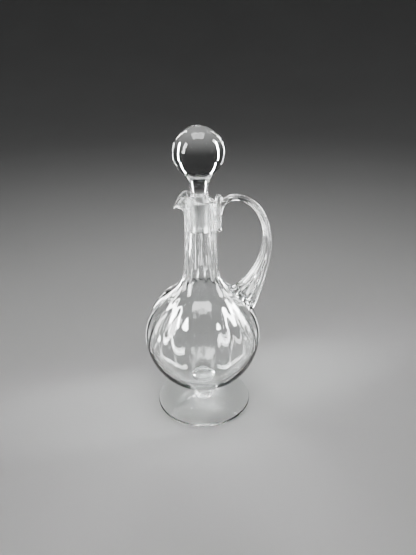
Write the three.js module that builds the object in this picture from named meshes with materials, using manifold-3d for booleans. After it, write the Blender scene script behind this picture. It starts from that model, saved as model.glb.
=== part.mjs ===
// A footed glass jug with a reeded handle, a pulled lip and a ground ball stopper.
// Millimetres, +Z up. The origin is the middle of the foot's flat base, on the axis of the globe.
// The handle stands towards +X and the pouring lip points towards -X.
import * as THREE from "three";
import { mergeVertices } from "three/addons/utils/BufferGeometryUtils.js";
import Module from "manifold-3d";

const wasm = await Module();
wasm.setup();

// Foot: a spun disc that sweeps up to a small flat seat, ground flat underneath
const FOOT_RADIUS = 50.7;
const FOOT_EDGE = 2.8;
const FOOT_HEIGHT = 6.6;
const FOOT_SEAT_RADIUS = 9.4;

// Stem: a short waist under a rounded knop that is pressed against the globe
const STEM_HEIGHT = 17.1;
const STEM_WAIST_RADIUS = 6.9;
const KNOP_RADIUS = 14;
const KNOP_HEIGHT = 12.8;
const KNOP_ROOT_RADIUS = 7.4;
const KNOP_UNDERSIDE_HEIGHT = 8;
const KNOP_SHOULDER_HEIGHT = 1.2;
const KNOP_SHOULDER_INSET = 0.8;

// Globe, blown in one with the neck, with a thick floor
const GLOBE_RADIUS = 60;
const GLOBE_WALL = 3.2;
const GLOBE_FLOOR = 5.2;
const SHOULDER_FILLET = 30;

// Neck: its length runs from the top of the globe's sphere to the rim on the handle side
const NECK_LENGTH = 86.3;
const NECK_FLARE = 2.4;
const NECK_WALL = 3;
const FLUTE_COUNT = 12;
const FLUTE_DEPTH = 1;
const FLUTE_FADE = 9;

// Lip: the rim climbs towards the spout, which is pulled out and down in the middle
const LIP_LENGTH = 18;
const LIP_WALL = 2.9;
const RIM_LIFT = 10.1;
const RIM_LIFT_POWER = 2;
const SPOUT_REACH = 10.2;
const SPOUT_REACH_ANGLE = 28;
const SPOUT_DIP = 14.5;
const SPOUT_DIP_ANGLE = 20;
const SPOUT_THICKENING = 2;

// Stopper: a solid ball on a waisted shank, with a tapered plug ground to fit the neck
const BALL_RADIUS = 23.8;
const PIP_RADIUS = 2.4;
const PIP_HEIGHT = 0.6;
const SHANK_INSET = 4.4;
const SHANK_UPPER_FILLET = 24;
const SHANK_LOWER_FILLET = 15;
const PLUG_TOP_RADIUS = 12.2;
const PLUG_LENGTH = 28;
const PLUG_TAPER = 0.03;
const PLUG_BELOW_RIM = 1;
const PLUG_EDGE = 1.2;
const PLUG_CLEARANCE = 0.3;

// Handle: a drawn, reeded rod, thin where its tail lies on the neck and wide where it sits on the globe
const HANDLE_REACH = 64.9;
const HANDLE_OUTERMOST_DROP = 43.5;
const HANDLE_CROWN_RISE = 2.6;
const HANDLE_CROWN_OUT = 18;
const HANDLE_TOP_THICKNESS = 6.4;
const HANDLE_TOP_WIDTH = 7.4;
const HANDLE_PAD_LENGTH = 39;
const HANDLE_PAD_WIDTH = 23;
const HANDLE_PAD_ANGLE = 44;
const HANDLE_PAD_DEPTH = 6;
const HANDLE_SWELL_POWER = 4.8;
const HANDLE_TAIL = 31.4;
const HANDLE_TAIL_THICKNESS = 7.2;
const HANDLE_TAIL_PROUD = 5.2;
const NIB_RISE = 5.4;
const NIB_WIDTH = 6.4;
const NIB_LEAN = 1.2;
const REED_COUNT = 10;
const REED_DEPTH = 0.13;

// How strongly the handle's curve holds its direction at each place, as a share of the span
const ROOT_PULL = 0.3;
const CROWN_NECK_PULL = 0.46;
const CROWN_OUTER_PULL = 0.25;
const OUTERMOST_UPPER_PULL = 0.6;
const OUTERMOST_LOWER_PULL = 0.27;
const PAD_PULL = 0.3;

// Pieces of glass that are fused on the real jug stand this far apart
const FUSED_GAP = 0.3;

// Fineness of the faceted surfaces; a sphere has one side that is whole and one that runs into a neck
const BODY_SEGMENTS = 72;
const FOOT_SEGMENTS = 48;
const STEM_SEGMENTS = 32;
const STOPPER_SEGMENTS = 36;
const FULL_SIDE_STEPS = 9;
const NECK_SIDE_STEPS = 6;
const FILLET_STEPS = 5;
const ROUND_STEPS = 4;
const LIP_STEPS = 4;
const HANDLE_STEPS = 28;
const NIB_STEPS = 7;
const POINTS_PER_REED = 4;

const globeBottom = FOOT_HEIGHT + STEM_HEIGHT;
const globeCentre = globeBottom + GLOBE_RADIUS;
const globeTop = globeCentre + GLOBE_RADIUS;
const rimHeight = globeTop + NECK_LENGTH;
const lipStart = rimHeight - LIP_LENGTH;
const plugTop = rimHeight - PLUG_BELOW_RIM;
const plugBottom = plugTop - PLUG_LENGTH;
const neckTopRadius = PLUG_TOP_RADIUS + PLUG_CLEARANCE + LIP_WALL;
const neckBaseRadius = neckTopRadius + NECK_FLARE;

function plugRadius(z) {
  return PLUG_TOP_RADIUS - PLUG_TAPER * (plugTop - z);
}

// The neck is ground out to the plug's own taper
function seatRadius(z) {
  return plugRadius(z) + PLUG_CLEARANCE;
}

function point(r, z) {
  return new THREE.Vector2(r, z);
}

// Points on an arc from one angle to another, in degrees, with both ends
function arc(centreR, centreZ, radius, from, to, steps) {
  return Array.from({ length: steps + 1 }, (_, i) => {
    const angle = THREE.MathUtils.degToRad(from + ((to - from) * i) / steps);
    return point(centreR + radius * Math.cos(angle), centreZ + radius * Math.sin(angle));
  });
}

// The profile turned about the Z axis
function turned(profile, segments) {
  return new THREE.LatheGeometry(profile, segments).rotateX(Math.PI / 2);
}

// The hollow fillet between a sphere and an upright wall: its centre, and where it leaves the sphere
function sphereFillet(sphereRadius, wallRadius, fillet) {
  const centreR = wallRadius + fillet;
  const apart = sphereRadius + fillet;
  const rise = Math.sqrt(apart * apart - centreR * centreR);
  const lean = THREE.MathUtils.radToDeg(Math.acos(centreR / apart));
  return { centreR, rise, lean };
}

// The outside of globe and neck, from the bottom pole to where the lip starts
function outerProfile(offset) {
  const sphere = GLOBE_RADIUS + offset;
  const fillet = SHOULDER_FILLET - offset;
  const { centreR, rise, lean } = sphereFillet(sphere, neckBaseRadius + offset, fillet);
  const neckStart = globeCentre + rise;
  return [
    point(0, globeCentre - sphere),
    ...arc(0, globeCentre, sphere, -90, 0, FULL_SIDE_STEPS).slice(1),
    ...arc(0, globeCentre, sphere, 0, lean, NECK_SIDE_STEPS).slice(1),
    ...arc(centreR, neckStart, fillet, 180 + lean, 180, FILLET_STEPS).slice(1),
    point((neckBaseRadius + neckTopRadius) / 2 + offset, (neckStart + lipStart) / 2),
    point(neckTopRadius + offset, lipStart),
  ];
}

// The inside, from where the lip starts down over the plug's seat to the thick floor
function innerProfile() {
  const sphere = GLOBE_RADIUS - GLOBE_WALL;
  const sphereZ = globeBottom + GLOBE_FLOOR + sphere;
  const fillet = SHOULDER_FILLET + NECK_WALL;
  const { centreR, rise, lean } = sphereFillet(sphere, neckBaseRadius - NECK_WALL, fillet);
  return [
    point(seatRadius(lipStart), lipStart),
    point(seatRadius(plugBottom), plugBottom),
    ...arc(centreR, sphereZ + rise, fillet, 180, 180 + lean, FILLET_STEPS),
    ...arc(0, sphereZ, sphere, lean, 0, NECK_SIDE_STEPS).slice(1),
    ...arc(0, sphereZ, sphere, 0, -90, FULL_SIDE_STEPS).slice(1, -1),
    point(0, globeBottom + GLOBE_FLOOR),
  ];
}

// The two sides of the lip with its rounded rim, before the spout is pulled
function lipProfile() {
  const round = (neckTopRadius - seatRadius(rimHeight)) / 2;
  const centreR = neckTopRadius - round;
  const centreZ = rimHeight - round;
  const heights = Array.from({ length: LIP_STEPS - 1 }, (_, i) =>
    lipStart + ((centreZ - lipStart) * (i + 1)) / LIP_STEPS);
  const outside = heights.map((z) => point(neckTopRadius, z));
  const inside = heights.toReversed().map((z) => point(seatRadius(z), z));
  return {
    outside: [...outside, ...arc(centreR, centreZ, round, 0, 90, ROUND_STEPS / 2)],
    inside: [...arc(centreR, centreZ, round, 90, 180, ROUND_STEPS / 2).slice(1), ...inside],
  };
}

// How deep the flutes are at a height: they fade out on the shoulder and at the rim
function fluteDepth(z) {
  const foot = THREE.MathUtils.smoothstep(z, globeTop - FLUTE_FADE, globeTop + FLUTE_FADE);
  const head = 1 - THREE.MathUtils.smoothstep(z, rimHeight - FLUTE_FADE, rimHeight);
  return FLUTE_DEPTH * foot * head;
}

// A smooth bump of height one where the spout points, falling away to both sides
function spoutBump(angle, halfAngle) {
  const away = Math.PI - Math.abs(angle);
  return Math.exp(-((away / THREE.MathUtils.degToRad(halfAngle)) ** 2));
}

// Moves each point of the turned shape: flutes outside, then the climbing rim and the spout
function shapeNeck(geometry, profileLength, outsideLength) {
  const place = geometry.attributes.position;
  for (let i = 0; i < place.count; i += 1) {
    const outside = i % profileLength < outsideLength;
    const x = place.getX(i);
    const y = place.getY(i);
    const z = place.getZ(i);
    const angle = Math.atan2(y, x);
    const along = THREE.MathUtils.clamp((z - lipStart) / LIP_LENGTH, 0, 1);
    const lift = RIM_LIFT * ((1 - Math.cos(angle)) / 2) ** RIM_LIFT_POWER;
    const climb = along ** 2 * (lift - SPOUT_DIP * spoutBump(angle, SPOUT_DIP_ANGLE));
    const reach = outside ? SPOUT_REACH : SPOUT_REACH - SPOUT_THICKENING;
    const pull = along ** 3 * reach * spoutBump(angle, SPOUT_REACH_ANGLE);
    const flute = fluteDepth(z) * Math.abs(Math.cos((angle * FLUTE_COUNT) / 2));
    const wall = outside ? -flute : Math.max(0, climb) * PLUG_TAPER;
    const radius = Math.hypot(x, y) + wall + pull;
    place.setXYZ(i, radius * Math.cos(angle), radius * Math.sin(angle), z + climb);
  }
  return geometry;
}

function bodyGeometry() {
  const lip = lipProfile();
  const outside = [...outerProfile(0), ...lip.outside];
  const profile = [...outside, ...lip.inside, ...innerProfile()];
  return shapeNeck(turned(profile, BODY_SEGMENTS), profile.length, outside.length);
}

function footGeometry() {
  const round = FOOT_EDGE / 2;
  const edge = FOOT_RADIUS - round;
  const sweep = new THREE.QuadraticBezierCurve(
    point(edge, FOOT_EDGE),
    point(FOOT_SEAT_RADIUS, FOOT_EDGE),
    point(FOOT_SEAT_RADIUS, FOOT_HEIGHT));
  return turned([
    point(0, 0),
    ...arc(edge, round, round, -90, 90, ROUND_STEPS),
    ...sweep.getPoints(2 * FILLET_STEPS).slice(1),
    point(0, FOOT_HEIGHT),
  ], FOOT_SEGMENTS);
}

// The stem stands on the foot's seat, and the dished top of its round-shouldered knop follows the globe
function stemGeometry() {
  const dish = GLOBE_RADIUS + FUSED_GAP;
  const dishHeight = (r) => globeCentre - Math.sqrt(dish * dish - r * r);
  const contact = KNOP_RADIUS - KNOP_SHOULDER_INSET;
  const contactEdge = THREE.MathUtils.radToDeg(Math.acos(contact / dish));
  const knopTop = dishHeight(KNOP_RADIUS);
  const knopLow = knopTop - KNOP_HEIGHT;
  const waist = new THREE.SplineCurve([
    point(FOOT_SEAT_RADIUS, FOOT_HEIGHT),
    point(STEM_WAIST_RADIUS, (FOOT_HEIGHT + knopLow) / 2),
    point(KNOP_ROOT_RADIUS, knopLow),
  ]);
  const underside = new THREE.QuadraticBezierCurve(
    point(KNOP_ROOT_RADIUS, knopLow),
    point(KNOP_RADIUS, knopLow),
    point(KNOP_RADIUS, knopLow + KNOP_UNDERSIDE_HEIGHT));
  const shoulder = new THREE.QuadraticBezierCurve(
    point(KNOP_RADIUS, knopTop - KNOP_SHOULDER_HEIGHT),
    point(KNOP_RADIUS, dishHeight(contact)),
    point(contact, dishHeight(contact)));
  return turned([
    point(0, FOOT_HEIGHT),
    ...waist.getPoints(FILLET_STEPS),
    ...underside.getPoints(FILLET_STEPS).slice(1),
    ...shoulder.getPoints(ROUND_STEPS),
    ...arc(0, globeCentre, dish, -contactEdge, -90, ROUND_STEPS).slice(1, -1),
    point(0, globeCentre - dish),
  ], STEM_SEGMENTS);
}

function stopperGeometry() {
  const shank = PLUG_TOP_RADIUS - SHANK_INSET;
  const skirtCentre = shank + SHANK_LOWER_FILLET;
  const skirtEdge = PLUG_TOP_RADIUS - PLUG_EDGE;
  const skirt = Math.acos((skirtCentre - skirtEdge) / SHANK_LOWER_FILLET);
  const waistZ = plugTop + PLUG_EDGE + SHANK_LOWER_FILLET * Math.sin(skirt);
  const { centreR, rise, lean } = sphereFillet(BALL_RADIUS, shank, SHANK_UPPER_FILLET);
  const ballZ = waistZ + rise;
  const skirtAngle = 180 + THREE.MathUtils.radToDeg(skirt);
  const pipAngle = THREE.MathUtils.radToDeg(Math.acos(PIP_RADIUS / BALL_RADIUS));
  return turned([
    point(0, plugBottom),
    point(plugRadius(plugBottom) - PLUG_EDGE, plugBottom),
    point(plugRadius(plugBottom + PLUG_EDGE), plugBottom + PLUG_EDGE),
    point(PLUG_TOP_RADIUS, plugTop),
    ...arc(skirtCentre, waistZ, SHANK_LOWER_FILLET, skirtAngle, 180, FILLET_STEPS),
    ...arc(centreR, waistZ, SHANK_UPPER_FILLET, 180, 180 - lean, FILLET_STEPS).slice(1),
    ...arc(0, ballZ, BALL_RADIUS, -lean, 0, NECK_SIDE_STEPS).slice(1),
    ...arc(0, ballZ, BALL_RADIUS, 0, pipAngle, FULL_SIDE_STEPS).slice(1),
    point(0, ballZ + BALL_RADIUS + PIP_HEIGHT),
  ], STOPPER_SEGMENTS);
}

// The middle line of what lies in a flute of the neck, standing proud of it
function tailPoint(z) {
  return new THREE.Vector3(neckTopRadius + HANDLE_TAIL_PROUD - HANDLE_TAIL_THICKNESS / 2, 0, z);
}

// The handle's middle line: up the neck, over the crown, down the outside and onto the globe
function handlePath() {
  const tail = tailPoint(rimHeight - HANDLE_TAIL);
  const root = tailPoint(lipStart);
  const crown = new THREE.Vector3(neckTopRadius + HANDLE_CROWN_OUT, 0, rimHeight + HANDLE_CROWN_RISE);
  const outermost = new THREE.Vector3(HANDLE_REACH, 0, rimHeight - HANDLE_OUTERMOST_DROP);
  const padLean = THREE.MathUtils.degToRad(HANDLE_PAD_ANGLE);
  const outward = new THREE.Vector3(Math.sin(padLean), 0, Math.cos(padLean));
  const pad = new THREE.Vector3(0, 0, globeCentre)
    .addScaledVector(outward, GLOBE_RADIUS - HANDLE_PAD_DEPTH);
  const up = new THREE.Vector3(0, 0, 1);
  const across = new THREE.Vector3(1, 0, 0);
  const span = (from, to, fromWay, fromPull, toWay, toPull) => {
    const length = from.distanceTo(to);
    const leaving = from.clone().addScaledVector(fromWay, fromPull * length);
    const arriving = to.clone().addScaledVector(toWay, toPull * length);
    return new THREE.CubicBezierCurve3(from, leaving, arriving, to);
  };
  const path = new THREE.CurvePath();
  path.add(new THREE.LineCurve3(tail, root));
  path.add(span(root, crown, up, ROOT_PULL, across, -CROWN_NECK_PULL));
  path.add(span(crown, outermost, across, CROWN_OUTER_PULL, up, OUTERMOST_UPPER_PULL));
  path.add(span(outermost, pad, up, -OUTERMOST_LOWER_PULL, outward, PAD_PULL));
  return path;
}

// A ring of the reeded rod, square to the path, with its thickness in the handle's own plane
function reededRing(centre, tangent, thickness, width) {
  const inPlane = new THREE.Vector3(tangent.z, 0, -tangent.x);
  const across = new THREE.Vector3(0, 1, 0);
  const count = REED_COUNT * POINTS_PER_REED;
  return Array.from({ length: count }, (_, i) => {
    const angle = (2 * Math.PI * i) / count;
    const crest = Math.abs(Math.cos((angle * REED_COUNT) / 2));
    const reed = (1 - REED_DEPTH * (1 - crest)) / 2;
    return centre.clone()
      .addScaledVector(inPlane, reed * thickness * Math.cos(angle))
      .addScaledVector(across, reed * width * Math.sin(angle));
  });
}

// A closed rod of rings joined in order, with flat ends
function lofted(rings) {
  const count = rings[0].length;
  const points = rings.flat();
  const index = [];
  for (let k = 0; k + 1 < rings.length; k += 1) {
    for (let i = 0; i < count; i += 1) {
      const a = k * count + i;
      const b = k * count + ((i + 1) % count);
      index.push(a, b, b + count, a, b + count, a + count);
    }
  }
  const middle = (ring) =>
    ring.reduce((sum, p) => sum.add(p), new THREE.Vector3()).divideScalar(count);
  const lastRing = points.length - count;
  const firstMiddle = points.push(middle(rings[0])) - 1;
  const lastMiddle = points.push(middle(rings.at(-1))) - 1;
  for (let i = 0; i < count; i += 1) {
    const next = (i + 1) % count;
    index.push(next, i, firstMiddle);
    index.push(lastRing + i, lastRing + next, lastMiddle);
  }
  return new THREE.BufferGeometry().setFromPoints(points).setIndex(index);
}

function reededRod(path, steps, sizeAt) {
  return lofted(Array.from({ length: steps + 1 }, (_, i) => {
    const along = i / steps;
    const { thickness, width } = sizeAt(along);
    return reededRing(path.getPointAt(along), path.getTangentAt(along), thickness, width);
  }));
}

// A share that falls away over the last step of a rod, so that its end is rounded
function roundedEnd(fromEnd, steps) {
  const way = Math.min(1, fromEnd * steps);
  return (1 + Math.sqrt(way * (2 - way))) / 2;
}

// The rod swells towards the globe, and is flatter where its tail lies along the neck
function handleRod() {
  const path = handlePath();
  const tailShare = HANDLE_TAIL / path.getLength();
  return reededRod(path, HANDLE_STEPS, (along) => {
    const swell = along ** HANDLE_SWELL_POWER;
    const free = THREE.MathUtils.smoothstep(along, 0, tailShare);
    const top = THREE.MathUtils.lerp(HANDLE_TAIL_THICKNESS, HANDLE_TOP_THICKNESS, free);
    const end = roundedEnd(along, HANDLE_STEPS);
    return {
      thickness: end * (top + swell * (HANDLE_PAD_LENGTH - HANDLE_TOP_THICKNESS)),
      width: end * (HANDLE_TOP_WIDTH + swell * (HANDLE_PAD_WIDTH - HANDLE_TOP_WIDTH)),
    };
  });
}

// The upright nib where the handle's glass was cut off above the rim
function handleNib() {
  const top = tailPoint(rimHeight + NIB_RISE);
  top.x += NIB_LEAN;
  const path = new THREE.LineCurve3(tailPoint(lipStart), top);
  return reededRod(path, NIB_STEPS, (along) => {
    const end = roundedEnd(1 - along, NIB_STEPS);
    return { thickness: end * HANDLE_TAIL_THICKNESS, width: end * NIB_WIDTH };
  });
}

function solid(geometry) {
  geometry.deleteAttribute("normal");
  geometry.deleteAttribute("uv");
  const merged = mergeVertices(geometry);
  return new wasm.Manifold(new wasm.Mesh({
    numProp: 3,
    vertProperties: merged.attributes.position.array,
    triVerts: new Uint32Array(merged.index.array),
  }));
}

function geometryOf(made) {
  const mesh = made.getMesh();
  return new THREE.BufferGeometry()
    .setAttribute("position", new THREE.BufferAttribute(mesh.vertProperties, 3))
    .setIndex(new THREE.BufferAttribute(mesh.triVerts, 1));
}

// The room that globe and fluted neck take up with the gap round them, carried on past the nib
function jugRoom() {
  const top = rimHeight + 2 * NIB_RISE;
  const profile = [
    ...outerProfile(FUSED_GAP),
    point(neckTopRadius + FUSED_GAP, rimHeight),
    point(neckTopRadius + FUSED_GAP, top),
    point(0, top),
  ];
  return shapeNeck(turned(profile, BODY_SEGMENTS), profile.length, profile.length);
}

function handleGeometry() {
  const drawn = solid(handleRod()).add(solid(handleNib()));
  return geometryOf(drawn.subtract(solid(jugRoom())));
}

function glass(color, roughness) {
  return new THREE.MeshStandardMaterial({
    color, roughness, metalness: 0, transparent: true, opacity: 0.4,
  });
}

function piece(name, geometry, material) {
  const mesh = new THREE.Mesh(geometry, material);
  mesh.name = name;
  return mesh;
}

const jug = new THREE.Group();
jug.add(
  piece("foot", footGeometry(), glass(0xe6ecec, 0.04)),
  piece("stem", stemGeometry(), glass(0xe6ecec, 0.04)),
  piece("body", bodyGeometry(), glass(0xeef2f2, 0.03)),
  piece("handle", handleGeometry(), glass(0xeaf0f0, 0.04)),
);

const stopperedJug = new THREE.Group();
stopperedJug.add(jug, piece("stopper", stopperGeometry(), glass(0xeef2f2, 0.06)));

export default stopperedJug;
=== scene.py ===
import math

import bmesh
import bpy
import numpy as np
from mathutils import Matrix, Vector


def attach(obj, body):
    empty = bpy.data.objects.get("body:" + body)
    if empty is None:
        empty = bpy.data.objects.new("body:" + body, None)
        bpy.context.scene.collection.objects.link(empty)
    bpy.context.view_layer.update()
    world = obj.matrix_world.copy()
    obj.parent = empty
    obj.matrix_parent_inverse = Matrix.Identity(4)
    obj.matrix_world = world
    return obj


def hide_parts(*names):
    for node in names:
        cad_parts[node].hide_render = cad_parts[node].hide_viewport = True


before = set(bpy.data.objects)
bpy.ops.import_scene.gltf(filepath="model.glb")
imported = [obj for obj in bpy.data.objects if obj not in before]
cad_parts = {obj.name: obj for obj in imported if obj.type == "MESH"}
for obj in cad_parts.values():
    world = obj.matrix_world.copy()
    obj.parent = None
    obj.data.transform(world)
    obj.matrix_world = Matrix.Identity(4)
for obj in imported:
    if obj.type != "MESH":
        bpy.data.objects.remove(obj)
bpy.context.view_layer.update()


# Foot: a thin disc of clear glass, spun open from a hot gob and ground flat underneath.
# Its upper side sweeps up to a small seat, where the stem was stuck on while hot.
MM = 0.001
FOOT_RADIUS = 50.7 * MM
FOOT_EDGE = 2.8 * MM
FOOT_HEIGHT = 6.6 * MM
FOOT_SEAT_RADIUS = 9.4 * MM
FOOT_SEGMENTS = 192
FOOT_EDGE_STEPS = 14
FOOT_SWEEP_STEPS = 48
FOOT_RINGS = (0.25, 0.5, 0.75, 0.9)
SEAT_RINGS = (0.75, 0.5, 0.25)
FUSED = 0.4 * MM  # how far one gather of glass runs into the next where they were joined hot
GLASS_IOR = 1.52
GLASS_CLEAR = (0.994, 0.998, 0.997, 1.0)
GLASS_DULL = (0.972, 0.984, 0.982, 1.0)
RIPPLE_DETAIL = 1.0
BLOOM_PER_METRE = 60.0
BLOOM_DETAIL = 3.0
BLOOM_RANGE = (0.45, 0.8)
BLOOM_ROUGHNESS = 0.03
FOOT_RIPPLE_SIZE = 14 * MM
FOOT_RIPPLE_DEPTH = 0.05 * MM


def round_bend(centre_r, centre_z, radius, start, end, steps):
    """Points of an arc in the profile's plane, from one angle to another in degrees."""
    turns = np.radians(np.linspace(start, end, steps + 1))
    return [(centre_r + radius * math.cos(t), centre_z + radius * math.sin(t)) for t in turns]


def soft_bend(first, pull, last, steps):
    """Points of a curve from first to last that leans towards pull."""
    shares = np.linspace(0.0, 1.0, steps + 1)[:, None]
    first, pull, last = (np.array(p) for p in (first, pull, last))
    curve = (1 - shares) ** 2 * first + 2 * shares * (1 - shares) * pull + shares ** 2 * last
    return [tuple(p) for p in curve]


def turned(name, profile, segments):
    """A closed mesh: the profile, which starts and ends on the axis, turned about Z."""
    inner = profile[1:-1]
    rows = len(inner)
    points = [(0.0, 0.0, profile[0][1])]
    for k in range(segments):
        angle = 2 * math.pi * k / segments
        points += [(r * math.cos(angle), r * math.sin(angle), z) for r, z in inner]
    points.append((0.0, 0.0, profile[-1][1]))
    last = len(points) - 1
    faces = []
    for k in range(segments):
        here = 1 + k * rows
        there = 1 + ((k + 1) % segments) * rows
        faces.append((0, there, here))
        faces += [(here + i, there + i, there + i + 1, here + i + 1) for i in range(rows - 1)]
        faces.append((here + rows - 1, there + rows - 1, last))
    mesh = bpy.data.meshes.new(name)
    mesh.from_pydata(points, [], faces)
    mesh.shade_smooth()
    return mesh


def clear_glass(name, ripple_size, ripple_depth):
    """Clear, colourless glass with the faint ripple and bloom that hot working leaves in it."""
    glass = bpy.data.materials.new(name)
    glass.use_nodes = True
    tree = glass.node_tree
    shader = tree.nodes["Principled BSDF"]
    shader.inputs["Transmission Weight"].default_value = 1.0
    shader.inputs["IOR"].default_value = GLASS_IOR
    place = tree.nodes.new("ShaderNodeTexCoord")

    ripple = tree.nodes.new("ShaderNodeTexNoise")
    ripple.inputs["Scale"].default_value = 1.0 / ripple_size
    ripple.inputs["Detail"].default_value = RIPPLE_DETAIL
    tree.links.new(place.outputs["Object"], ripple.inputs["Vector"])
    bump = tree.nodes.new("ShaderNodeBump")
    bump.inputs["Strength"].default_value = 1.0
    bump.inputs["Distance"].default_value = ripple_depth
    tree.links.new(ripple.outputs["Fac"], bump.inputs["Height"])
    tree.links.new(bump.outputs["Normal"], shader.inputs["Normal"])

    bloom = tree.nodes.new("ShaderNodeTexNoise")
    bloom.inputs["Scale"].default_value = BLOOM_PER_METRE
    bloom.inputs["Detail"].default_value = BLOOM_DETAIL
    tree.links.new(place.outputs["Object"], bloom.inputs["Vector"])
    tint = tree.nodes.new("ShaderNodeValToRGB")
    tint.color_ramp.elements[0].color = GLASS_DULL
    tint.color_ramp.elements[1].color = GLASS_CLEAR
    tree.links.new(bloom.outputs["Fac"], tint.inputs["Fac"])
    tree.links.new(tint.outputs["Color"], shader.inputs["Base Color"])
    polish = tree.nodes.new("ShaderNodeMapRange")
    polish.name = "polish"
    polish.inputs["From Min"].default_value = BLOOM_RANGE[0]
    polish.inputs["From Max"].default_value = BLOOM_RANGE[1]
    polish.inputs["To Max"].default_value = BLOOM_ROUGHNESS
    tree.links.new(bloom.outputs["Fac"], polish.inputs["Value"])
    tree.links.new(polish.outputs["Result"], shader.inputs["Roughness"])
    return glass


def set_in_place(mesh, material, node, body):
    """The finished piece, which stands for a solid of the frame and moves with its body."""
    mesh.materials.clear()
    mesh.materials.append(material)
    piece = bpy.data.objects.new(node + "_glass", mesh)
    bpy.context.scene.collection.objects.link(piece)
    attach(piece, body)
    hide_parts(node)
    return piece


foot_round = FOOT_EDGE / 2
foot_profile = [
    (0.0, 0.0),
    *[(FOOT_RADIUS * share, 0.0) for share in FOOT_RINGS],
    *round_bend(FOOT_RADIUS - foot_round, foot_round, foot_round, -90, 90, FOOT_EDGE_STEPS),
    *soft_bend(
        (FOOT_RADIUS - foot_round, FOOT_EDGE), (FOOT_SEAT_RADIUS, FOOT_EDGE),
        (FOOT_SEAT_RADIUS, FOOT_HEIGHT), FOOT_SWEEP_STEPS)[1:],
    *[(FOOT_SEAT_RADIUS * share, FOOT_HEIGHT) for share in SEAT_RINGS],
    (0.0, FOOT_HEIGHT),
]
foot_glass = clear_glass("spun_foot_glass", FOOT_RIPPLE_SIZE, FOOT_RIPPLE_DEPTH)
foot = set_in_place(turned("foot_disc", foot_profile, FOOT_SEGMENTS), foot_glass, "foot", "jug")


# Stem: a short waist and a rounded knop of clear glass, dropped hot onto the foot
# and pressed against the bottom of the globe, whose round it takes on.
STEM_WAIST_RADIUS = 6.9 * MM
STEM_HEIGHT = 17.1 * MM
KNOP_RADIUS = 14 * MM
KNOP_HEIGHT = 12.8 * MM
KNOP_ROOT_RADIUS = 7.4 * MM
KNOP_UNDERSIDE_HEIGHT = 8 * MM
KNOP_SHOULDER_HEIGHT = 1.2 * MM
KNOP_SHOULDER_INSET = 0.8 * MM
GLOBE_RADIUS = 60 * MM
STEM_SEGMENTS = 128
STEM_RINGS = (0.4, 0.8, 1.0)
STEM_WAIST_STEPS = 10
KNOP_UNDERSIDE_STEPS = 20
KNOP_SHOULDER_STEPS = 12
KNOP_DISH_STEPS = 12
STEM_RIPPLE_SIZE = 6 * MM
STEM_RIPPLE_DEPTH = 0.03 * MM

globe_bottom = FOOT_HEIGHT + STEM_HEIGHT
globe_centre = globe_bottom + GLOBE_RADIUS
dish = GLOBE_RADIUS - FUSED
contact = KNOP_RADIUS - KNOP_SHOULDER_INSET
contact_edge = math.degrees(math.acos(contact / dish))
knop_top = globe_centre - math.sqrt(GLOBE_RADIUS ** 2 - KNOP_RADIUS ** 2)
contact_top = globe_centre - math.sqrt(dish ** 2 - contact ** 2)
knop_low = knop_top - KNOP_HEIGHT
waist_height = (FOOT_HEIGHT + knop_low) / 2
stem_profile = [
    (0.0, FOOT_HEIGHT - FUSED),
    *[((FOOT_SEAT_RADIUS - FUSED) * share, FOOT_HEIGHT - FUSED) for share in STEM_RINGS],
    *soft_bend(
        (FOOT_SEAT_RADIUS, FOOT_HEIGHT), (STEM_WAIST_RADIUS, FOOT_HEIGHT),
        (STEM_WAIST_RADIUS, waist_height), STEM_WAIST_STEPS),
    *soft_bend(
        (STEM_WAIST_RADIUS, waist_height), (STEM_WAIST_RADIUS, knop_low),
        (KNOP_ROOT_RADIUS, knop_low), STEM_WAIST_STEPS)[1:],
    *soft_bend(
        (KNOP_ROOT_RADIUS, knop_low), (KNOP_RADIUS, knop_low),
        (KNOP_RADIUS, knop_low + KNOP_UNDERSIDE_HEIGHT), KNOP_UNDERSIDE_STEPS)[1:],
    *soft_bend(
        (KNOP_RADIUS, knop_top - KNOP_SHOULDER_HEIGHT), (KNOP_RADIUS, contact_top - FUSED),
        (contact, contact_top), KNOP_SHOULDER_STEPS),
    *round_bend(0.0, globe_centre, dish, -contact_edge, -90, KNOP_DISH_STEPS)[1:-1],
    (0.0, globe_centre - dish),
]
stem_glass = clear_glass("knop_glass", STEM_RIPPLE_SIZE, STEM_RIPPLE_DEPTH)
stem = set_in_place(
    turned("knopped_stem", stem_profile, STEM_SEGMENTS), stem_glass, "stem", "jug")


# Body: globe and neck blown in one from clear glass, with a thick floor. The neck is cut with
# flutes that run out in scallops on the shoulder, its mouth is ground for the stopper, and the
# rim was warmed again to pull the spout out and down.
GLOBE_WALL = 3.2 * MM
GLOBE_FLOOR = 5.2 * MM
SHOULDER_FILLET = 30 * MM
NECK_LENGTH = 86.3 * MM
NECK_WALL = 3 * MM
NECK_FLARE = 2.4 * MM
LIP_LENGTH = 18 * MM
LIP_WALL = 2.9 * MM
PLUG_TOP_RADIUS = 12.2 * MM
PLUG_LENGTH = 28 * MM
PLUG_TAPER = 0.03
PLUG_BELOW_RIM = 1 * MM
PLUG_CLEARANCE = 0.3 * MM
BODY_SEGMENTS = 240
OUTSIDE_STEPS = (40, 26, 22, 24)  # lower globe, upper globe, shoulder, neck
INSIDE_STEPS = (8, 20, 18, 22, 34)  # mouth, neck, shoulder, upper globe, lower globe
LIP_OUT_STEPS = 18
LIP_BEND_STEPS = 14
LIP_IN_STEPS = 16
RIB_START = -0.12  # heights from the globe's centre, as shares of its radius
RIB_FULL = 0.42
GROUND_EDGE = 0.5 * MM
DRAWN_FADE = 12 * MM
WELD = 0.001 * MM
ROUNDING = 1e-5  # keeps a whole number whole when it is rounded down
STREAK_WIDTH = 1.6 * MM
STREAK_LENGTH = 60 * MM
STREAK_DETAIL = 3.0
NECK_STREAK_DEPTH = 0.06 * MM
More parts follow.
